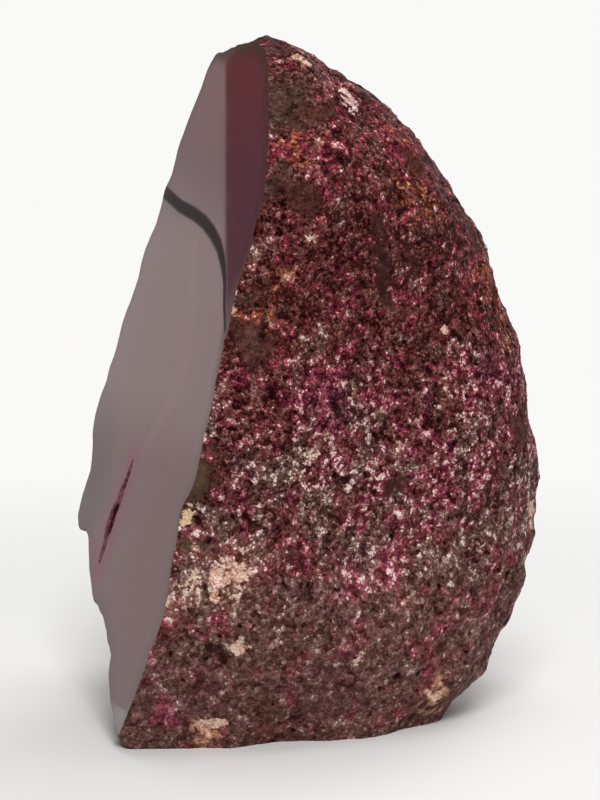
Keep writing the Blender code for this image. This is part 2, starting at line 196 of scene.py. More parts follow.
class Graph:
    """Short names for the nodes of one material."""

    def __init__(self, tree):
        self.tree = tree
        self.shader = tree.nodes.get("Principled BSDF")

    def node(self, kind, fed=None, **settings):
        """A new node with these settings. fed says what goes into its sockets, by name or number."""
        made = self.tree.nodes.new(kind)
        for name, value in settings.items():
            setattr(made, name, value)
        for socket, value in (fed or {}).items():
            self.feed(made.inputs[socket], value)
        return made

    def feed(self, socket, value):
        """Links a socket to an output, or sets it to a plain value."""
        if isinstance(value, bpy.types.NodeSocket):
            self.tree.links.new(value, socket)
        else:
            socket.default_value = value

    def math(self, operation, a, b=0.0, clamp=False):
        return self.node("ShaderNodeMath", {0: a, 1: b}, operation=operation, use_clamp=clamp).outputs[0]

    def times(self, a, b):
        return self.math("MULTIPLY", a, b)

    def vector(self, operation, a, b=(0, 0, 0), scale=None):
        fed = {0: a, 1: b} if scale is None else {0: a, "Scale": scale}
        made = self.node("ShaderNodeVectorMath", fed, operation=operation)
        return made.outputs["Value" if operation in ("DOT_PRODUCT", "DISTANCE", "LENGTH") else "Vector"]

    def step(self, value, low, high):
        """0 below low and 1 above high, smooth between. low may be above high."""
        ends = (high, low, 1.0, 0.0) if low > high else (low, high, 0.0, 1.0)
        fed = dict(zip(("From Min", "From Max", "To Min", "To Max"), ends), Value=value)
        return self.node("ShaderNodeMapRange", fed, interpolation_type="SMOOTHSTEP", clamp=True).outputs[0]

    def mix(self, share, a, b):
        fed = {0: share, 6: a, 7: b}
        return self.node("ShaderNodeMix", fed, data_type="RGBA", clamp_factor=True).outputs[2]

    def laid_over(self, colour, share, most, over):
        """A colour with another one over it, where share is high, and most of it at the most."""
        return self.mix(self.times(share, most), colour, over)

    def place(self):
        """Place on the object, in millimetres."""
        where = self.node("ShaderNodeTexCoord").outputs["Object"]
        return self.vector("SCALE", where, scale=1.0 / MM)

    def axes(self, place):
        """The three coordinates of a place."""
        return self.node("ShaderNodeSeparateXYZ", {0: place}).outputs

    def noise(self, place, size, detail=2.0, roughness=0.5, colour=False):
        fed = {"Vector": place, "Scale": 1.0 / size, "Detail": detail, "Roughness": roughness}
        return self.node("ShaderNodeTexNoise", fed).outputs["Color" if colour else "Fac"]

    def attribute(self, name):
        return self.node("ShaderNodeAttribute", attribute_name=name).outputs["Fac"]

    def bump(self, height, distance, strength):
        fed = {"Height": height, "Distance": distance * MM, "Strength": strength}
        return self.node("ShaderNodeBump", fed).outputs[0]

    def surface(self, colour, roughness, normal=None, specular=None, ior=None):
        """Feeds the shader. specular and ior are plain numbers."""
        names = ("Base Color", "Roughness", "Normal", "Specular IOR Level", "IOR")
        for name, value in zip(names, (colour, roughness, normal, specular, ior)):
            if value is not None:
                self.feed(self.shader.inputs[name], value)


def rgb(red, green, blue):
    return (red, green, blue, 1.0)


# Where the lights aim, in metres, the light of the room on the stone, and the tone of the backdrop.
LIGHT_TARGET = (0.0, 0.0, 0.06)
AMBIENT = (0.22, 0.215, 0.21)
BACKDROP = (0.95, 0.945, 0.94)


# ---- the stone


def face_normal():
    return Vector((0.0, -math.cos(FACE_LEAN), math.sin(FACE_LEAN)))


def stone_parts(node):
    """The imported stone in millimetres: its closed mesh, the slit's wall, and the polished plane's level."""
    bm = bmesh.new()
    bm.from_mesh(node.data)
    bmesh.ops.scale(bm, vec=(1 / MM,) * 3, verts=bm.verts[:])
    bmesh.ops.remove_doubles(bm, verts=bm.verts[:], dist=0.001)
    out = face_normal()
    level = max((face.calc_center_median().dot(out), face.calc_area()) for face in bm.faces
                if face.normal.dot(out) > 0.9999 and face.calc_area() > 5.0)[0]
    flat = {
        face for face in bm.faces
        if face.calc_center_median().z < 0.02
        or (face.normal.dot(out) > 0.999 and abs(face.calc_center_median().dot(out) - level) < 0.02)
    }
    islands = connected([face for face in bm.faces if face not in flat])
    rind = max(islands, key=len)
    slit = [face for island in islands if island is not rind for face in island]
    slit_mesh = copied(slit)
    bmesh.ops.delete(bm, geom=slit, context="FACES")
    bmesh.ops.holes_fill(bm, edges=[edge for edge in bm.edges if edge.is_boundary], sides=0)
    return bm, slit_mesh, level


def copied(faces):
    """A new mesh of these faces."""
    made = bmesh.new()
    twins = {}
    for face in faces:
        for vert in face.verts:
            if vert not in twins:
                twins[vert] = made.verts.new(vert.co)
        made.faces.new([twins[vert] for vert in face.verts])
    return made


def connected(faces):
    """Groups of faces that share edges, in a fixed order."""
    left = dict.fromkeys(faces)
    groups = []
    while left:
        front = [left.popitem()[0]]
        group = []
        while front:
            face = front.pop()
            group.append(face)
            for edge in face.edges:
                for other in edge.link_faces:
                    if other in left:
                        del left[other]
                        front.append(other)
        groups.append(group)
    return groups


def built_out(bm, level):
    """Moves the two sawn sides outwards, so that the fine mesh can be sawn at its true planes."""
    out = face_normal()
    faced = [face for face in bm.faces if face.normal.dot(out) > 0.99
             and abs(face.calc_center_median().dot(out) - level) < 0.05]
    footed = [face for face in bm.faces if face.calc_center_median().z < 0.02]
    made = bmesh.ops.extrude_face_region(bm, geom=faced + footed)["geom"]
    bmesh.ops.delete(bm, geom=faced + footed, context="FACES")
    for vert in made:
        if isinstance(vert, bmesh.types.BMVert):
            on_face = abs(vert.co.dot(out) - level) < 0.01
            on_base = vert.co.z < 0.01
            vert.co += out * BUILD_OUT * on_face + Vector((0, 0, -BUILD_OUT)) * on_base
    return bm


def fine_mesh(bm):
    """Even mesh of the same form."""
    mesh = bpy.data.meshes.new("coarse")
    bm.to_mesh(mesh)
    bm.free()
    carrier = put("coarse", mesh)
    remesh = carrier.modifiers.new("fine", "REMESH")
    remesh.mode = "VOXEL"
    remesh.voxel_size = FINE_CELL
    bpy.context.view_layer.update()
    fine = bpy.data.meshes.new_from_object(carrier.evaluated_get(bpy.context.evaluated_depsgraph_get()))
    bpy.data.objects.remove(carrier)
    made = bmesh.new()
    made.from_mesh(fine)
    return made


def smooth_step(low, high, values):
    t = np.clip((values - low) / (high - low), 0.0, 1.0)
    return t * t * (3 - 2 * t)


def zones(points):
    """How much of each named patch there is at each point, 0 to 1."""
    warp = np.array([noise.noise_vector(Vector(p) / SPOT_WARP_SIZE) for p in points])
    moved = points + SPOT_WARP * warp
    found = {}
    for name, spots in SPOTS.items():
        amount = np.zeros(len(points))
        for x, y, z, radius in spots:
            away = np.linalg.norm(moved - (x, y, z), axis=1) / radius
            amount = np.maximum(amount, smooth_step(1.35, 0.45, away))
        found[name] = amount
    for name, spots in CRISP_SPOTS.items():
        bent = points + CRISP_WARP * warp
        nearest = np.min([np.linalg.norm(bent - spot[:3], axis=1) / spot[3] for spot in spots], axis=0)
        found[name] = smooth_step(1.15, 0.85, nearest)
    return found


def line_distance(points, line, widths):
    """Distance of points from a bent line, counted in the line's half width there."""
    found = np.full(len(points), 9.0)
    line = np.array(line, float)
    for start, end, first, last in zip(line[:-1], line[1:], widths[:-1], widths[1:]):
        run = end - start
        along = np.clip((points - start) @ run / (run @ run), 0.0, 1.0)
        away = np.linalg.norm(points - start - along[:, None] * run, axis=1)
        found = np.minimum(found, away / (first + along * (last - first)))
    return found


def clumps(points):
    """A slow, clotted pattern over the rind, 0 to 1: grains gather where it is high."""
    found = np.empty(len(points))
    for i, point in enumerate(points):
        p = Vector(point)
        found[i] = noise.noise(p / 2.7) + 0.9 * noise.noise(p / 1.3 + Vector((5.0, 9.0, 2.0)))
    return np.clip(0.5 + 0.70 * found, 0.0, 1.0)


def grain_heights(points, calm):
    """Height of the rind's lumps, grains and pits at each point. calm scales the grains and pits."""
    heights = np.empty(len(points))
    for i, point in enumerate(points):
        p = Vector(point)
        lumps = noise.fractal(p / 3.2, 0.8, 2.1, 3)
        grains = noise.voronoi(p / 1.35)[0]
        pits = noise.voronoi(p / 3.3 + Vector((7.7, 3.1, 1.9)))[0]
        size = 0.16 + 0.16 * noise.noise(p / 9.0)
        pit = max(0.0, 1.0 - pits[0] / max(size, 0.02))
        dome = 0.5 - min(grains[0], 1.0)
        heights[i] = 0.24 * lumps + (0.42 * dome - 0.9 * min(pit * 1.6, 1.0)) * calm[i]
    return heights


def undercut(points):
    """How far the foot of the rind draws in at each point."""
    behind = smooth_step(0.0, UNDERCUT_BEHIND, points[:, 1])
    return UNDERCUT_DEPTH * behind * np.clip(1.0 - points[:, 2] / UNDERCUT_HEIGHT, 0.0, 1.3) ** 2


def top_inset(points):
    """How far the very top of the rind is drawn in at each point."""
    return TOP_INSET * np.clip((points[:, 2] - TOP_INSET_FROM) / TOP_INSET_RISE, 0.0, 1.0)


def saw(bm, point, normal):
    """Cuts off what lies past a plane, and drops crumbs that the cut leaves loose."""
    everything = bm.verts[:] + bm.edges[:] + bm.faces[:]
    bmesh.ops.bisect_plane(bm, geom=everything, dist=1e-4, plane_co=point, plane_no=normal, clear_outer=True)
    whole = set(max(connected(bm.faces[:]), key=len))
    crumbs = [face for face in bm.faces if face not in whole]
    bmesh.ops.delete(bm, geom=crumbs, context="FACES")


def tree_of(points):
    """The points, ready to be searched."""
    tree = KDTree(len(points))
    for i, point in enumerate(points):
        tree.insert(point, i)
    tree.balance()
    return tree


def grid_inside(flat, spacing):
    """Points of an even triangular grid over the flat points' box, away from the points themselves."""
    tree = tree_of([(u, v, 0.0) for u, v in flat])
    low = np.min(flat, axis=0)
    high = np.max(flat, axis=0)
    inner = []
    for row, v in enumerate(np.arange(low[1], high[1], spacing * 0.866)):
        for u in np.arange(low[0] + (row % 2) * spacing / 2, high[0], spacing):
            if tree.find((u, v, 0.0))[2] > 0.6 * spacing:
                inner.append((u, v))
    return inner


def within(places, ends, lines):
    """Which places lie inside closed outlines, by how many of their lines are crossed on the way out."""
    start, end = ends[lines[:, 0]], ends[lines[:, 1]]
    inside = np.zeros(len(places), bool)
    for (u0, v0), (u1, v1) in zip(start, end):
        if v0 == v1:
            continue
        spans = (places[:, 1] > v0) != (places[:, 1] > v1)
        crossing = u0 + (places[:, 1] - v0) * (u1 - u0) / (v1 - v0)
        inside ^= spans & (places[:, 0] < crossing)
    return inside


def flat_triangles(flat, lines, spacing):
    """Even triangles inside outlines: their places, which outline points these are, and their corners."""
    points = [Vector(p) for p in flat + grid_inside(flat, spacing)]
    places, _, faces, origins, _, _ = geometry.delaunay_2d_cdt(points, lines, [], 0, 1e-5)
    places = np.array([place[:] for place in places])
    centres = np.array([places[list(corners)].mean(axis=0) for corners in faces])
    inside = within(centres, np.array(flat), np.array(lines))
    return places, origins, [corners for corners, wanted in zip(faces, inside) if wanted]


def close_flat(bm, point, normal, spacing, index):
    """Fills the open rims, which lie in one plane, with even triangles. The slit's rim stays open."""
    across = Vector((1.0, 0.0, 0.0))
    up = normal.cross(across).normalized()
    rim = [edge for edge in bm.edges if edge.is_boundary]
    verts = list({vert: None for edge in rim for vert in edge.verts})
    number = {vert: i for i, vert in enumerate(verts)}
    flat = [((vert.co - point).dot(across), (vert.co - point).dot(up)) for vert in verts]
    lines = [(number[edge.verts[0]], number[edge.verts[1]]) for edge in rim]
    places, origins, faces = flat_triangles(flat, lines, spacing)
    made = []
    for place, origin in zip(places, origins):
        old = [i for i in origin if i < len(verts)]
        made.append(verts[old[0]] if old else bm.verts.new(point + across * place[0] + up * place[1]))
    for corners in faces:
        ring = [made[i] for i in corners]
        if len(set(ring)) < 3:
            continue
        face = bm.faces.new(ring)
        face.normal_update()
        if face.normal.dot(normal) < 0:
            face.normal_flip()
        face.material_index = index
    for edge in rim:
        edge.smooth = False
    loose = [vert for vert in bm.verts if not vert.link_faces]
    bmesh.ops.delete(bm, geom=loose, context="VERTS")


RIND, POLISHED, SAWN, SLIT = range(4)


def roughen(body, level):
    """Gives the fine mesh the rind's relief, and draws in its foot and its top."""
    points = np.array([vert.co[:] for vert in body.verts])
    calm = 1.0 - 0.75 * zones(points)["smooth"]
    calm *= 1.0 - CALM_RELIEF * smooth_step(*CALM_HEIGHTS, points[:, 2])
    beneath = level - points @ np.array(face_normal())
    held = 0.35 + 0.65 * smooth_step(0.0, 4.0, beneath)
    heights = grain_heights(points, calm) * held
    insets = undercut(points) + top_inset(points) * held
    # The relief's height is kept for the rind's finish, which paints shade into the pits with it.
    layer = body.verts.layers.float.new("hollow")
    body.normal_update()
    for vert, height, inset in zip(body.verts, heights, insets):
        vert.co += vert.normal * (height - inset)
        vert[layer] = height


def stone_mesh(node):
    """The stone as one closed mesh in millimetres, with the level of its polished plane."""
    body, wall, level = stone_parts(node)
    body = fine_mesh(built_out(body, level))
    roughen(body, level)
    down = Vector((0, 0, -1))
    saw(body, Vector((0, 0, 0)), down)
    close_flat(body, Vector((0, 0, 0)), down, BASE_GRID, SAWN)
    out = face_normal()
    saw(body, out * level, out)
    for face in wall.faces:
        face.material_index = SLIT
    joined = bpy.data.meshes.new("slit_wall")
    wall.to_mesh(joined)
    body.from_mesh(joined)
    close_flat(body, out * level, out, FACE_GRID, POLISHED)
    for face in body.faces:
        face.smooth = face.material_index != SAWN
    return body, level


def store_inward(bm, level):
    """Stores how far each point of the polished face lies from the rind."""
    out = face_normal()
    layer = bm.verts.layers.float.new("inward")
    cap = [vert for vert in bm.verts if abs(vert.co.dot(out) - level) < 0.002]
    tree = tree_of([vert.co for vert in cap if any(face.material_index == RIND for face in vert.link_faces)])
    for vert in cap:
        vert[layer] = tree.find(vert.co)[2]


def read(items, field, width=1, kind=float):
    """One field of all items as an array, with a row for each where it has more than one number."""
    store = np.empty(len(items) * width, kind)
    items.foreach_get(field, store)
    return store.reshape(-1, width) if width > 1 else store


def add_values(mesh, name, values):
    """Stores one number a vertex on the mesh, for its material to read."""
    store = mesh.attributes.get(name) or mesh.attributes.new(name, "FLOAT", "POINT")
    store.data.foreach_set("value", np.asarray(values, np.float32))


def finished(mesh, name):
    """Turns a mesh in millimetres into a piece of the object."""
    mesh.transform(Matrix.Scale(MM, 4))
    piece = put(name, mesh)
    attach(piece, "root")
    return piece


def build_stone(node):
    """The stone's mesh with its values and finishes, and the level of its polished plane."""
    bm, level = stone_mesh(node)
    store_inward(bm, level)
    mesh = bpy.data.meshes.new("agate")
    bm.to_mesh(mesh)
    bm.free()
    points = read(mesh.vertices, "co", 3)
    for name, amount in zones(points).items():
        add_values(mesh, name, amount)
    clump = clumps(points)
    add_values(mesh, "clump", clump)
    add_values(mesh, "gathered", smooth_step(0.50, 0.72, clump))
    add_values(mesh, "low", smooth_step(*LOW_HEIGHTS, points[:, 2]))
    add_values(mesh, "streak", line_distance(points[:, (0, 2)], STREAK, STREAK_WIDTH))
    add_values(mesh, "band", line_distance(points[:, (0, 2)], BAND, BAND_WIDTH))
    for finish in (rind_material(), polished_material(), sawn_material(), slit_material()):
        mesh.materials.append(finish)
    return mesh, level


# ---- loose grains

# Kinds of grain: how many, smallest and largest half size, and how much more of them a named patch has.
GRAINS = {
    "crimson_grains": (
        10500, 0.18, 0.50,
        {"gathered": 7.0, "magenta": 3.0, "low": 1.5, "smooth": -1.5, "olive": -3.0, "stain": -9.0},
    ),
    "pale_grains": (
        2700, 0.14, 0.38,
        {"cream": 22.0, "low": 3.0, "gathered": 1.0, "smooth": -1.0, "olive": -1.0, "stain": -9.0},
    ),
    "brown_grains": (9500, 0.18, 0.46, {"smooth": -0.7, "cream": -0.3, "gathered": -0.5}),
    "amber_grains": (1000, 0.16, 0.36, {"orange": 60.0, "peach": 20.0}),
}
# Points that a grain's hull is made of, and how many such hulls the grains share.
GRAIN_POINTS = 9
GRAIN_SHAPES = 12
# How deep a grain's middle sits, in its half sizes; how far it keeps from the polished face; how far all of
# it stays inside the two sawn planes; its sideways sway; and the share of grains that is missing at the foot.
GRAIN_SINK = 0.85
GRAIN_CLEAR = 0.6
GRAIN_INSIDE = 0.03
GRAIN_SWAY = 0.2
GRAIN_THINNING = 0.7


def grain_shapes(rng):
    """A few closed faceted solids of about unit half size: (points, triangles) each."""
    shapes = []
    for _ in range(GRAIN_SHAPES):
        bm = bmesh.new()
        for _ in range(GRAIN_POINTS):
            way = rng.normal(size=3)
            bm.verts.new(way / np.linalg.norm(way) * rng.uniform(0.8, 1.1))
        hull = bmesh.ops.convex_hull(bm, input=bm.verts[:])
        bmesh.ops.delete(bm, geom=[v for v in hull["geom_interior"] if isinstance(v, bmesh.types.BMVert)],
                         context="VERTS")
        bmesh.ops.triangulate(bm, faces=bm.faces[:])
        bmesh.ops.recalc_face_normals(bm, faces=bm.faces[:])
        bm.verts.index_update()
        points = np.array([v.co[:] for v in bm.verts])
        triangles = np.array([[v.index for v in face.verts] for face in bm.faces])
        shapes.append((points, triangles))
        bm.free()
    return shapes


def random_turns(rng, count):
    """Random rotation matrices."""
    q = rng.normal(size=(count, 4))
    w, x, y, z = (q / np.linalg.norm(q, axis=1, keepdims=True)).T
    return np.stack([
        np.stack([1 - 2 * (y * y + z * z), 2 * (x * y - z * w), 2 * (x * z + y * w)], -1),
        np.stack([2 * (x * y + z * w), 1 - 2 * (x * x + z * z), 2 * (y * z - x * w)], -1),
        np.stack([2 * (x * z - y * w), 2 * (y * z + x * w), 1 - 2 * (x * x + y * y)], -1),
    ], 1)


def rind_samples(mesh):
    """Centre, normal, area and vertex of each face of the rind."""
    faces = mesh.polygons
    keep = read(faces, "material_index", kind=int) == RIND
    first = read(faces, "loop_start", kind=int)[keep]
    vertex = read(mesh.loops, "vertex_index", kind=int)[first]
    return read(faces, "center", 3)[keep], read(faces, "normal", 3)[keep], read(faces, "area")[keep], vertex


def scatter(mesh, level, name, rng, shapes):
    """Faceted grains over the rind, joined into one mesh, with a tint for each grain."""
    count, small, large, likes = GRAINS[name]
    centre, normal, area, vertex = rind_samples(mesh)
    weight = np.ones(len(area))
    for zone, more in likes.items():
        weight += more * read(mesh.attributes[zone].data, "value", kind=np.float32)[vertex]
    thinned = 1.0 - GRAIN_THINNING * smooth_step(*CALM_HEIGHTS, centre[:, 2])
    weight = area * np.clip(weight, 0.02, None) * thinned
    weight[centre @ np.array(face_normal()) > level - GRAIN_CLEAR] = 0.0
    chosen = rng.choice(len(area), size=count, p=weight / weight.sum())
    size = small + (large - small) * rng.random(count) ** 2
    sway = rng.normal(scale=GRAIN_SWAY, size=(count, 3))
    sway -= np.sum(sway * normal[chosen], axis=1, keepdims=True) * normal[chosen]
    where = centre[chosen] + sway - normal[chosen] * (GRAIN_SINK * size)[:, None]
    return joined_grains(name, where, size, rng, shapes, level)


def joined_grains(name, where, size, rng, shapes, level):
    """One mesh of turned and stretched grains at the places given, all inside the two sawn planes."""
    count = len(where)
    turns = random_turns(rng, count)
    stretch = rng.uniform(0.6, 1.15, size=(count, 3))
    kind = rng.integers(len(shapes), size=count)
    tint = rng.random(count)
    points, triangles, tints = [], [], []
    offset = 0
    for number, (shape, faces) in enumerate(shapes):
        mine = kind == number
        turned = np.einsum("nij,nkj->nki", turns[mine], shape[None] * stretch[mine][:, None])
        placed = where[mine][:, None] + turned * size[mine][:, None, None]
        flat = placed.reshape(-1, 3)
        steps = offset + np.arange(mine.sum())[:, None, None] * len(shape)
        points.append(flat)
        triangles.append((faces[None] + steps).reshape(-1, 3))
        tints.append(np.repeat(tint[mine], len(shape)))
        offset += len(flat)
    points = np.concatenate(points)
    out = np.array(face_normal())
    past = np.maximum(points @ out - (level - GRAIN_INSIDE), 0.0)
    points = points - past[:, None] * out
    points[:, 2] = np.maximum(points[:, 2], GRAIN_INSIDE)
    made = bpy.data.meshes.new(name)
    made.from_pydata(points.tolist(), [], np.concatenate(triangles).tolist())
    add_values(made, "tint", np.concatenate(tints))
    return made


SLIT_GRAINS = 2600
SLIT_GRAIN_SIZE = (0.22, 0.50)
# Where crystals close the slit, as shares of its height, and how much of its width they leave open there.
SLIT_CLOSED = (
    (0.0, 0.0), (0.10, 0.0), (0.13, 0.5), (0.18, 0.5), (0.22, 0.0), (0.27, 0.7), (0.56, 0.8), (0.60, 0.1),
    (0.68, 0.1), (0.72, 0.6), (0.88, 0.7), (0.92, 0.0), (1.0, 0.0),
)


def slit_crystals(mesh, level, rng, shapes):
    """Small pink crystals that line the slit's edges and close it in places, flush with the face."""
    right, left, foot, top = slit_edges(mesh, level)
    share = rng.random(SLIT_GRAINS)
    z = foot + (top - foot) * share
    right, left = (np.interp(z, edge[:, 2], edge[:, 0]) for edge in (right, left))
    open_share = np.interp(share, *zip(*SLIT_CLOSED))
    off = rng.uniform(open_share, 1.0) * rng.choice((-1.0, 1.0), SLIT_GRAINS)
    x = (right + left) / 2 + off * ((right - left) / 2)
    out = np.array(face_normal())
    size = rng.uniform(*SLIT_GRAIN_SIZE, SLIT_GRAINS)
    on_face = np.stack([x, FACE_FOOT + z * math.tan(FACE_LEAN), z], axis=1)
    where = on_face - out * (size * rng.uniform(0.2, 0.9, SLIT_GRAINS))[:, None]
    return joined_grains("slit_crystals", where, size, rng, shapes, level)


def slit_edges(mesh, level):
    """The slit's right and left edges on the polished face, and the heights of its foot and its top."""
    out = np.array(face_normal())
    points = read(mesh.vertices, "co", 3)
    walls = {vert for face in mesh.polygons if face.material_index == SLIT for vert in face.vertices}
    rim = np.array([points[vert] for vert in walls if abs(points[vert] @ out - level) < 0.01])
    rim = rim[np.argsort(rim[:, 2])]
    foot, top = rim[0], rim[-1]
    middle = foot[0] + (rim[:, 2] - foot[2]) / (top[2] - foot[2]) * (top[0] - foot[0])
    return rim[rim[:, 0] >= middle], rim[rim[:, 0] <= middle], foot[2], top[2]


# ---- finishes


# Palettes of the rind, from its darkest to its lightest grains: place on the ramp, colour.
WARM = (
    (0.0, (0.014, 0.001, 0.001)), (0.2, (0.048, 0.007, 0.006)), (0.45, (0.118, 0.03, 0.025)),
    (0.65, (0.19, 0.068, 0.06)), (0.82, (0.3, 0.135, 0.126)), (0.94, (0.49, 0.25, 0.228)),
    (1.0, (0.88, 0.67, 0.56)),
)
ROSY = (
    (0.0, (0.014, 0.001, 0.002)), (0.2, (0.055, 0.006, 0.011)), (0.45, (0.15, 0.018, 0.033)),
    (0.65, (0.3, 0.042, 0.062)), (0.82, (0.48, 0.115, 0.138)), (0.94, (0.62, 0.26, 0.26)),
    (1.0, (0.86, 0.62, 0.57)),
)
DRAB = (
    (0.0, (0.01, 0.003, 0.002)), (0.25, (0.042, 0.02, 0.014)), (0.5, (0.098, 0.056, 0.042)),
    (0.75, (0.21, 0.14, 0.112)), (1.0, (0.78, 0.68, 0.59)),
)
QUARTZ = (
    (0.0, (0.09, 0.01, 0.032)), (0.5, (0.17, 0.05, 0.08)), (1.0, (0.26, 0.12, 0.15)),
)
AMBER = (
    (0.0, (0.02, 0.004, 0.002)), (0.3, (0.115, 0.022, 0.01)), (0.6, (0.34, 0.075, 0.036)),
    (0.85, (0.6, 0.22, 0.105)), (1.0, (0.82, 0.56, 0.4)),
)
FLESH = (
    (0.0, (0.06, 0.014, 0.008)), (0.35, (0.26, 0.09, 0.045)), (0.7, (0.6, 0.29, 0.18)),
    (1.0, (0.86, 0.62, 0.46)),
)
MAUVE = (
    (0.0, (0.014, 0.002, 0.004)), (0.2, (0.048, 0.009, 0.013)), (0.45, (0.145, 0.025, 0.045)),
    (0.65, (0.255, 0.056, 0.085)), (0.82, (0.42, 0.145, 0.172)), (1.0, (0.88, 0.69, 0.65)),
)


def ramp(g, value, stops):
    made = g.node("ShaderNodeValToRGB", {0: value})
    band = made.color_ramp
    while len(band.elements) < len(stops):
        band.elements.new(0.5)
    for element, (at, colour) in zip(band.elements, stops):
        element.position = at
        element.color = rgb(*colour)
    return made.outputs[0]


def total(g, first, *terms):
    """first plus each (factor, value) pair multiplied out."""
    result = first
    for factor, value in terms:
        result = g.math("ADD", result, g.times(value, factor))
    return result


# The rind's middle tone on its palettes.
RIND_MIDDLE = 0.53


def drawn_together(g, value, share):
    """A value moved towards the rind's middle tone by a share."""
    away = g.math("SUBTRACT", value, RIND_MIDDLE)
    return g.math("ADD", g.times(away, g.math("SUBTRACT", 1.0, share)), RIND_MIDDLE)


def calm_share(g, place):
    """How far the rind's tones are drawn together at a place: not at all above, most at the foot."""
    return g.times(g.step(g.axes(place)[2], *CALM_HEIGHTS), CALM_TONES)


def grain_cells(g, place, size):
    """Irregular grains about size across: three random numbers for each, and a dome over each."""
    sway = g.vector("SUBTRACT", g.noise(place, size, 2.0, colour=True), (0.5, 0.5, 0.5))
    moved = g.vector("ADD", place, g.vector("SCALE", sway, scale=size * 0.9))
    cells = g.node("ShaderNodeTexVoronoi", {"Vector": moved, "Scale": 1.0 / size})
    parts = g.node("ShaderNodeSeparateColor", {0: cells.outputs["Color"]})
    return parts.outputs, g.step(cells.outputs["Distance"], 0.75, 0.25)


def ragged_patch(g, r, name, level):
    """Where a named patch shows: whole in its middle, and in clots towards its edge."""
    amount = g.attribute(name)
    ragged = g.step(total(g, amount, (2.2, r.clotted), (0.5, r.grit[0])), level - 0.17, level + 0.17)
    return g.times(ragged, g.step(amount, 0.05, 0.35))


# The rind's two sizes of grain, in its finish, and how far the finer ones are moved off the others.
COARSE_GRAIN = 1.0
FINE_GRAIN = 0.45
FINE_SHIFT = (31.0, 17.0, 5.0)


def rind_parts(g):
    """The noises, grains and stored values that the rind's finish is made of."""
    place = g.place()
    r = SimpleNamespace(place=place)
    r.coarse, r.coarse_dome = grain_cells(g, place, COARSE_GRAIN)
    r.grit, r.grit_dome = grain_cells(g, g.vector("ADD", place, FINE_SHIFT), FINE_GRAIN)
    r.broad = g.noise(place, 9.0, 3.0, 0.55)
    r.clotted = g.noise(place, 1.9, 4.0, 0.62)
    r.fine = g.noise(place, 0.5, 3.0, 0.65)
    r.calm = calm_share(g, place)
    for name in ("clump", "low", "cream", "olive", "magenta", "violet"):
        setattr(r, name, g.attribute(name))
    smooth = total(g, g.attribute("smooth"), (1.6, r.clotted), (-0.5, r.clump))
    smooth = g.times(g.step(smooth, 0.85, 1.45), 0.85)
    r.smooth = g.math("MAXIMUM", smooth, g.times(r.olive, 0.65))
    return r


def rind_tone(g, r):
    """How light the rind is, as a place on its palettes, with painted shade between its grains and in the pits
    of its relief.
    """
    sparks = g.times(g.step(r.grit[2], 0.80, 0.96), total(g, 0.05, (0.09, r.low)))
    # The grains' domes lighten each grain's middle: painted shade in the gaps between grains.
    tone = total(
        g, -1.27, (1.30, r.clotted), (0.42, r.coarse[0]), (0.52, r.grit[0]), (0.50, r.broad), (0.36, r.fine),
        (0.31, r.cream), (0.10, r.coarse_dome), (0.14, r.grit_dome), (0.07, r.low), (1.0, sparks),
    )
    swell = total(g, -0.24, (0.36, r.clotted), (0.17, r.coarse[0]))
    tone = g.math("ADD", tone, g.times(swell, r.low))
    tone = drawn_together(g, tone, r.calm)
    even = total(g, -0.44, (0.60, r.clotted), (0.40, r.broad), (0.30, r.fine), (0.16, r.grit[0]))
    grainy = g.times(tone, g.math("SUBTRACT", 1.0, r.smooth))
    tone = g.math("ADD", grainy, g.times(even, r.smooth))
    # Painted shade: the rind is darkened where its relief sinks into pits.
    return total(g, tone, (-0.45, g.step(g.attribute("hollow"), -0.02, -0.45)))


def rind_colour(g, r, tone):
    """The rind's reds, browns and greys, before its patches."""
    rosy = total(
        g, -1.06, (1.0, r.clump), (0.55, r.coarse[1]), (0.30, r.grit[1]), (0.45, r.magenta), (0.15, r.violet),
        (-1.0, r.olive), (-0.5, r.smooth), (-0.4, r.cream), (0.17, r.low), (-0.35, r.calm),
    )
    rosy = g.step(rosy, -0.02, 0.28)
    lifted = total(g, tone, (0.14, rosy))
    reds = g.laid_over(ramp(g, lifted, ROSY), r.low, 0.6, ramp(g, lifted, MAUVE))
    colour = g.mix(rosy, ramp(g, tone, WARM), reds)
    violets = g.step(total(g, r.violet, (0.8, r.clotted)), 0.6, 1.1)
    colour = g.laid_over(colour, violets, 0.6, ramp(g, tone, MAUVE))
    grey = g.step(total(g, g.noise(r.place, 7.0, 3.0), (0.07, r.low), (0.32, r.calm)), 0.56, 0.72)
    drab = g.math("MAXIMUM", r.olive, g.times(grey, 0.8))
    drab = g.math("MAXIMUM", drab, g.times(r.smooth, 0.55))
    return g.laid_over(colour, drab, 0.85, ramp(g, tone, DRAB))


def rind_spots(g, r, tone, colour):
    """The rind's colour with its soft patches, stains and the painted shade of its pits."""
    amber = g.times(g.attribute("orange"), g.step(r.coarse[2], 0.45, 0.65))
    colour = g.laid_over(colour, amber, 0.9, ramp(g, g.math("ADD", tone, 0.06), AMBER))
    flesh = g.times(g.attribute("peach"), g.step(r.clotted, 0.42, 0.56))
    colour = g.mix(flesh, colour, ramp(g, g.math("ADD", tone, 0.12), FLESH))
    stain = g.times(g.attribute("stain"), g.step(r.clotted, 0.72, 0.46))
    colour = g.laid_over(colour, stain, 0.85, rgb(0.04, 0.013, 0.011))
    # Painted shade of pits: near-black spots with no hole modelled for them.
    colour = g.laid_over(colour, g.attribute("pit"), 0.85, rgb(0.022, 0.006, 0.004))
    dusty = g.step(total(g, 0.0, (0.5, r.cream), (1.7, r.clotted), (0.3, r.grit[0])), 1.48, 1.80)
    straw = g.mix(r.coarse[2], rgb(0.56, 0.35, 0.23), rgb(0.76, 0.59, 0.49))
    return g.mix(g.times(dusty, g.step(tone, 0.38, 0.70)), colour, straw)


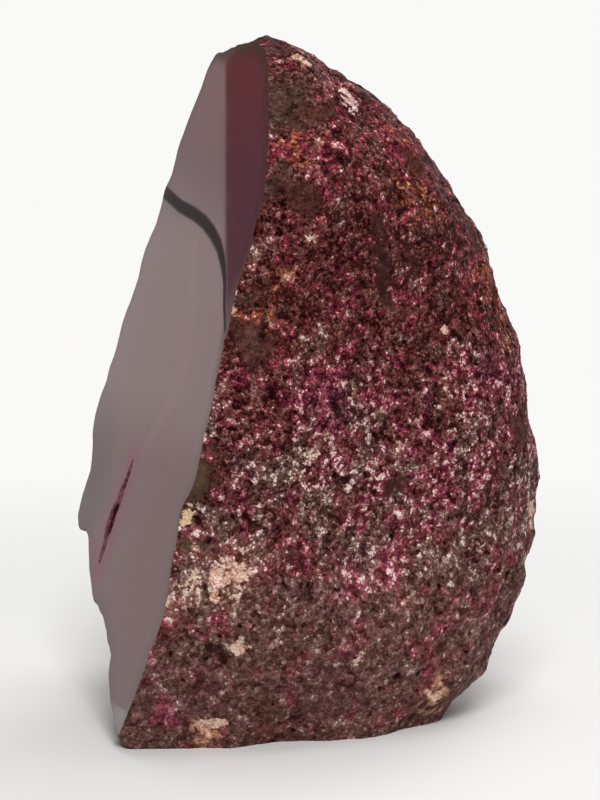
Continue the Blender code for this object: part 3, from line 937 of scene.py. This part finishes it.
def rind_chips(g, r, colour):
    """The rind's colour with its crisp pale patches and its dark lumps."""
    peach = g.step(total(g, r.fine, (1.0, r.clotted)), 0.80, 1.25)
    peach = g.mix(peach, rgb(0.44, 0.19, 0.12), rgb(0.93, 0.69, 0.56))
    frost = g.mix(r.coarse[1], rgb(0.6, 0.26, 0.25), rgb(0.94, 0.72, 0.68))
    lump = g.mix(r.clotted, rgb(0.03, 0.014, 0.008), rgb(0.13, 0.08, 0.045))
    chip = g.mix(r.clotted, rgb(0.52, 0.32, 0.16), rgb(0.88, 0.66, 0.42))
    colour = g.mix(ragged_patch(g, r, "peel", 1.85), colour, peach)
    colour = g.mix(ragged_patch(g, r, "frost", 2.35), colour, frost)
    colour = g.mix(g.attribute("lump"), colour, lump)
    return g.mix(ragged_patch(g, r, "chip", 1.90), colour, chip)


def rind_material():
    made, g = material("rind")
    r = rind_parts(g)
    tone = rind_tone(g, r)
    colour = rind_spots(g, r, tone, rind_colour(g, r, tone))
    grit = total(g, 0.0, (0.5, r.fine), (0.9, r.clotted), (0.55, r.grit_dome), (0.6, r.coarse_dome))
    for share, most in ((r.smooth, 0.6), (r.calm, 1.2)):
        grit = g.times(grit, g.math("SUBTRACT", 1.0, g.times(share, most)))
    roughness = total(g, 0.40, (0.35, r.fine))
    g.surface(rind_chips(g, r, colour), roughness, g.bump(grit, 0.45, 1.0), specular=0.05)
    return made


def grain_material(name, stops, low, high, roughness):
    """Finish of one kind of grain. Each grain takes its own place on the palette, between low and high."""
    made, g = material(name)
    place = g.place()
    tint = g.math("POWER", g.attribute("tint"), 1.6)
    value = total(g, low - 0.12, (high - low, tint), (0.24, g.noise(place, 0.45, 3.0, 0.6)))
    value = drawn_together(g, value, calm_share(g, place))
    roughness = total(g, roughness, (0.25, g.noise(place, 0.3)))
    normal = g.bump(g.noise(place, 0.22, 2.0), 0.10, 0.7)
    g.surface(ramp(g, value, stops), roughness, normal, specular=0.14)
    return made


def slit_distance(g, place):
    """Distance from the slit's middle line, along the polished face."""
    lean = math.tan(FACE_LEAN)
    ends = [Vector((x, FACE_FOOT + z * lean, z)) for x, z in (SLIT_FOOT, SLIT_TOP)]
    run = ends[1] - ends[0]
    from_foot = g.vector("SUBTRACT", place, tuple(ends[0]))
    along = g.vector("DOT_PRODUCT", from_foot, tuple(run))
    along = g.math("DIVIDE", along, run.length_squared, clamp=True)
    nearest = g.vector("SCALE", tuple(run), scale=along)
    return g.vector("DISTANCE", from_foot, nearest)


# A dimmer, bluer part of the polished face, by its left edge.
FACE_DIM_MIDDLE = (-31.0, -36.5, 44.0)
FACE_DIM_REACH = 24.0
# Between these heights the polished face turns redder, a painted glow of light through its thin top, and its
# skin widens.
FACE_GLOW_HEIGHTS = (96.0, 130.0)
SKIN_WIDE_HEIGHTS = (123.0, 127.0)
QUARTZ_IOR = 1.54


def ring_lines(g, place, ring):
    """Fine wavy lines that follow the agate's rings round the slit, 0 to 1."""
    wavy = total(g, ring, (5.0, g.noise(place, 24.0, 2.0)))
    fed = {"W": g.times(wavy, 0.16), "Scale": 1.0, "Detail": 4.0, "Roughness": 0.6}
    lines = g.node("ShaderNodeTexNoise", fed, noise_dimensions="1D")
    return g.step(lines.outputs["Fac"], 0.42, 0.66)


def agate_colour(g, place, away):
    """The agate's colour under the polish: its inner part, painted red glow at the top, streak, lines and
    feathers.
    """
    x, _, height = g.axes(place)
    left = g.math("MAXIMUM", g.math("SUBTRACT", -12.0, x), 0.0)
    ring = total(g, away, (-0.5, left))
    inner = g.step(ring, INNER_RADIUS, INNER_RADIUS - INNER_FADE)
    colour = g.mix(inner, rgb(0.14, 0.054, 0.076), rgb(0.16, 0.07, 0.08))
    # Painted glow of light through the thin top: the face turns redder upwards.
    colour = g.mix(g.step(height, *FACE_GLOW_HEIGHTS), colour, rgb(0.19, 0.056, 0.062))
    colour = g.laid_over(colour, g.step(g.attribute("streak"), 1.3, 0.2), 0.8, rgb(0.205, 0.078, 0.092))
    colour = g.laid_over(colour, ring_lines(g, place, ring), 0.22, rgb(0.18, 0.075, 0.09))
    feather = g.step(g.noise(g.vector("MULTIPLY", place, (1.0, 1.0, 0.25)), 9.0, 3.0), 0.48, 0.66)
    feather = g.times(feather, g.step(away, 46.0, 6.0))
    return g.laid_over(colour, feather, 0.5, rgb(0.17, 0.05, 0.075))


def polished_skin(g, place):
    """Where the polished face's rim shows the brown skin of the stone, 0 to 1."""
    inward = g.attribute("inward")
    narrow = g.step(total(g, inward, (1.2, g.noise(place, 1.5, 2.0))), 1.3, 0.7)
    wide = g.step(total(g, inward, (1.6, g.noise(place, 2.5, 2.0))), 2.6, 1.4)
    wide = g.times(wide, g.step(g.axes(place)[2], *SKIN_WIDE_HEIGHTS))
    return g.math("MAXIMUM", narrow, wide)


def polished_material():
    made, g = material("polished_face")
    place = g.place()
    away = slit_distance(g, place)
    colour = agate_colour(g, place, away)
    band = g.step(g.attribute("band"), 1.2, 0.5)
    colour = g.mix(band, colour, rgb(0.014, 0.001, 0.006))
    # Painted shade: the polished face is darkened, and a little duller, in a strip along the rind.
    rim_shade = g.step(total(g, g.attribute("inward"), (2.0, g.noise(place, 4.0, 3.0))), 5.5, 1.0)
    colour = g.laid_over(colour, rim_shade, 0.55, rgb(0.085, 0.036, 0.034))
    from_left = g.vector("DISTANCE", place, FACE_DIM_MIDDLE)
    dim = g.step(total(g, from_left, (9.0, g.noise(place, 14.0, 2.0))), FACE_DIM_REACH, 6.0)
    colour = g.laid_over(colour, dim, 0.6, rgb(0.05, 0.026, 0.05))
    colour = g.laid_over(colour, g.step(away, 8.0, 1.5), 0.8, rgb(0.2, 0.022, 0.08))
    skin = polished_skin(g, place)
    colour = g.laid_over(colour, skin, 0.85, rgb(0.075, 0.036, 0.024))
    dull = total(g, 0.03, (0.03, g.noise(place, 6.0, 2.0)), (0.10, skin), (0.52, band), (0.08, rim_shade))
    g.surface(colour, dull, ior=QUARTZ_IOR)
    return made


def sawn_material():
    made, g = material("sawn_base")
    place = g.place()
    colour = g.mix(g.noise(place, 7.0, 3.0), rgb(0.1, 0.05, 0.05), rgb(0.3, 0.2, 0.19))
    saw_marks = g.noise(g.vector("MULTIPLY", place, (0.15, 3.0, 1.0)), 1.5, 3.0)
    colour = g.laid_over(colour, saw_marks, 0.5, rgb(0.16, 0.08, 0.09))
    g.surface(colour, 0.55, g.bump(saw_marks, 0.12, 0.6))
    return made


def slit_material():
    made, g = material("slit_wall")
    place = g.place()
    colour = g.mix(g.noise(place, 1.0, 3.0), rgb(0.03, 0.002, 0.01), rgb(0.13, 0.008, 0.045))
    g.surface(colour, 0.3, g.bump(g.noise(place, 0.6, 3.0), 0.3, 0.7))
    return made


def crystal_material():
    made, g = material("druzy_crystal")
    place = g.place()
    clear = g.step(g.noise(place, 1.3, 3.0), 0.35, 0.7)
    colour = g.mix(clear, rgb(0.06, 0.002, 0.018), rgb(0.3, 0.01, 0.095))
    g.surface(colour, total(g, 0.10, (0.15, g.noise(place, 0.8))), specular=0.2, ior=QUARTZ_IOR)
    return made


# ---- the setting


# The floor's radius in metres, and between what distances from the middle it turns into the backdrop.
FLOOR_RADIUS = 6.0
FLOOR_FADE = (110.0, 420.0)


def floor():
    """Pale floor. Away from the stone it brightens into the backdrop."""
    mesh = bpy.data.meshes.new("floor")
    bm = bmesh.new()
    bmesh.ops.create_circle(bm, cap_ends=True, segments=96, radius=FLOOR_RADIUS)
    bm.to_mesh(mesh)
    bm.free()
    made = put("floor", mesh)
    finish, g = material("pale_floor")
    place = g.place()
    far = g.step(g.vector("LENGTH", place), *FLOOR_FADE)
    colour = g.mix(far, rgb(0.8, 0.8, 0.8), rgb(0, 0, 0))
    g.surface(colour, total(g, 0.8, (0.05, g.noise(place, 40.0))), specular=0.0)
    g.shader.inputs["Emission Color"].default_value = rgb(*BACKDROP)
    g.feed(g.shader.inputs["Emission Strength"], far)
    mesh.materials.append(finish)


def area_light(name, place, size, power):
    """Square light that aims at the stone, in metres."""
    light = bpy.data.lights.new(name, "AREA")
    light.size = size
    light.energy = power
    made = put(name, light)
    made.location = place
    made.rotation_euler = (Vector(LIGHT_TARGET) - Vector(place)).to_track_quat("-Z", "Y").to_euler()
    made.visible_camera = False


# A plain soft panel, and a dark card behind it, stand at the stone's left, where the polished face mirrors
# them. Both lean with the face. The panel is brightest in the middle of its height.
CARD_ACROSS = Vector((0.326, -0.850, 0.414))
CARD_UP = Vector((-0.082, 0.411, 0.908))
PANEL_MIDDLE = (-72.9, -38.6, 69.2)
PANEL_SIZE = (54.0, 174.0)
DARK_MIDDLE = (-85.0, -52.0, 76.0)
DARK_SIZE = (130.0, 200.0)


def card(name, middle, size):
    """Flat card of the studio that only reflections show, black for a start. It lights nothing."""
    across, up = CARD_ACROSS * size[0] / 2, CARD_UP * size[1] / 2
    corners = [(Vector(middle) + across * a + up * b) * MM for a, b in ((-1, -1), (1, -1), (1, 1), (-1, 1))]
    mesh = bpy.data.meshes.new(name)
    mesh.from_pydata(corners, [], [(0, 1, 2, 3)])
    made = put(name, mesh)
    made.visible_camera = False
    made.visible_shadow = False
    made.visible_diffuse = False
    finish, g = material(name)
    g.surface(rgb(0, 0, 0), 0.5, specular=0.0)
    finish.cycles.emission_sampling = "NONE"
    mesh.materials.append(finish)
    return g


def cards():
    """The dark card and the panel."""
    card("dark_card", DARK_MIDDLE, DARK_SIZE)
    g = card("panel", PANEL_MIDDLE, PANEL_SIZE)
    height = g.axes(g.place())[2]
    g.shader.inputs["Emission Color"].default_value = rgb(1.0, 0.96, 0.91)
    glow = total(g, 0.42, (0.25, g.step(height, 118.0, 96.0)), (-0.17, g.step(height, 68.0, 50.0)))
    g.feed(g.shader.inputs["Emission Strength"], glow)


def lights():
    """Three soft lights, and a world that is a plain backdrop to the camera."""
    area_light("key", (1.05, -0.30, 0.95), 0.5, 15.0)
    area_light("top", (0.0, 0.3, 1.3), 0.9, 7.0)
    area_light("back", (-0.9, 0.9, 0.8), 0.8, 6.0)
    world = bpy.data.worlds.new("studio")
    bpy.context.scene.world = world
    world.use_nodes = True
    tree = world.node_tree
    g = Graph(tree)
    seen = g.node("ShaderNodeLightPath").outputs["Is Camera Ray"]
    g.feed(tree.nodes["Background"].inputs["Color"], g.mix(seen, rgb(*AMBIENT), rgb(*BACKDROP)))


def camera():
    azimuth = math.radians(VIEW_AZIMUTH)
    elevation = math.radians(VIEW_ELEVATION)
    level = math.cos(elevation)
    back = Vector((math.sin(azimuth) * level, -math.cos(azimuth) * level, math.sin(elevation)))
    place = Vector(VIEW_TARGET) + back * VIEW_DISTANCE
    data = bpy.data.cameras.new("view")
    data.lens = VIEW_LENS
    data.sensor_width = SENSOR
    data.clip_start = 0.01
    made = put("view", data)
    made.location = place * MM
    made.rotation_euler = (-back).to_track_quat("-Z", "Y").to_euler()
    bpy.context.scene.camera = made


def main():
    noise.seed_set(SEED)
    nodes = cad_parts
    camera()
    lights()
    cards()
    floor()
    mesh, level = build_stone(nodes["agate_stone"])
    rng = np.random.default_rng(SEED)
    shapes = grain_shapes(rng)
    looks = {
        "crimson_grains": grain_material("crimson_grain", ROSY, 0.18, 0.86, 0.25),
        "pale_grains": grain_material("pale_grain", WARM, 0.20, 0.74, 0.35),
        "brown_grains": grain_material("brown_grain", WARM, 0.00, 0.42, 0.35),
        "amber_grains": grain_material("amber_grain", AMBER, 0.25, 0.9, 0.3),
    }
    for name, look in looks.items():
        grains = scatter(mesh, level, name, rng, shapes)
        grains.materials.append(look)
        finished(grains, name)
    quartz = slit_crystals(mesh, level, rng, shapes)
    quartz.materials.append(grain_material("pink_quartz", QUARTZ, 0.1, 1.0, 0.15))
    finished(quartz, "slit_crystals")
    stone = finished(mesh, "agate")
    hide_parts("agate_stone")
    crust = nodes["druzy_crystals"]
    crust.data.materials[0] = crystal_material()
    bpy.context.scene.view_settings.view_transform = "Standard"


main()
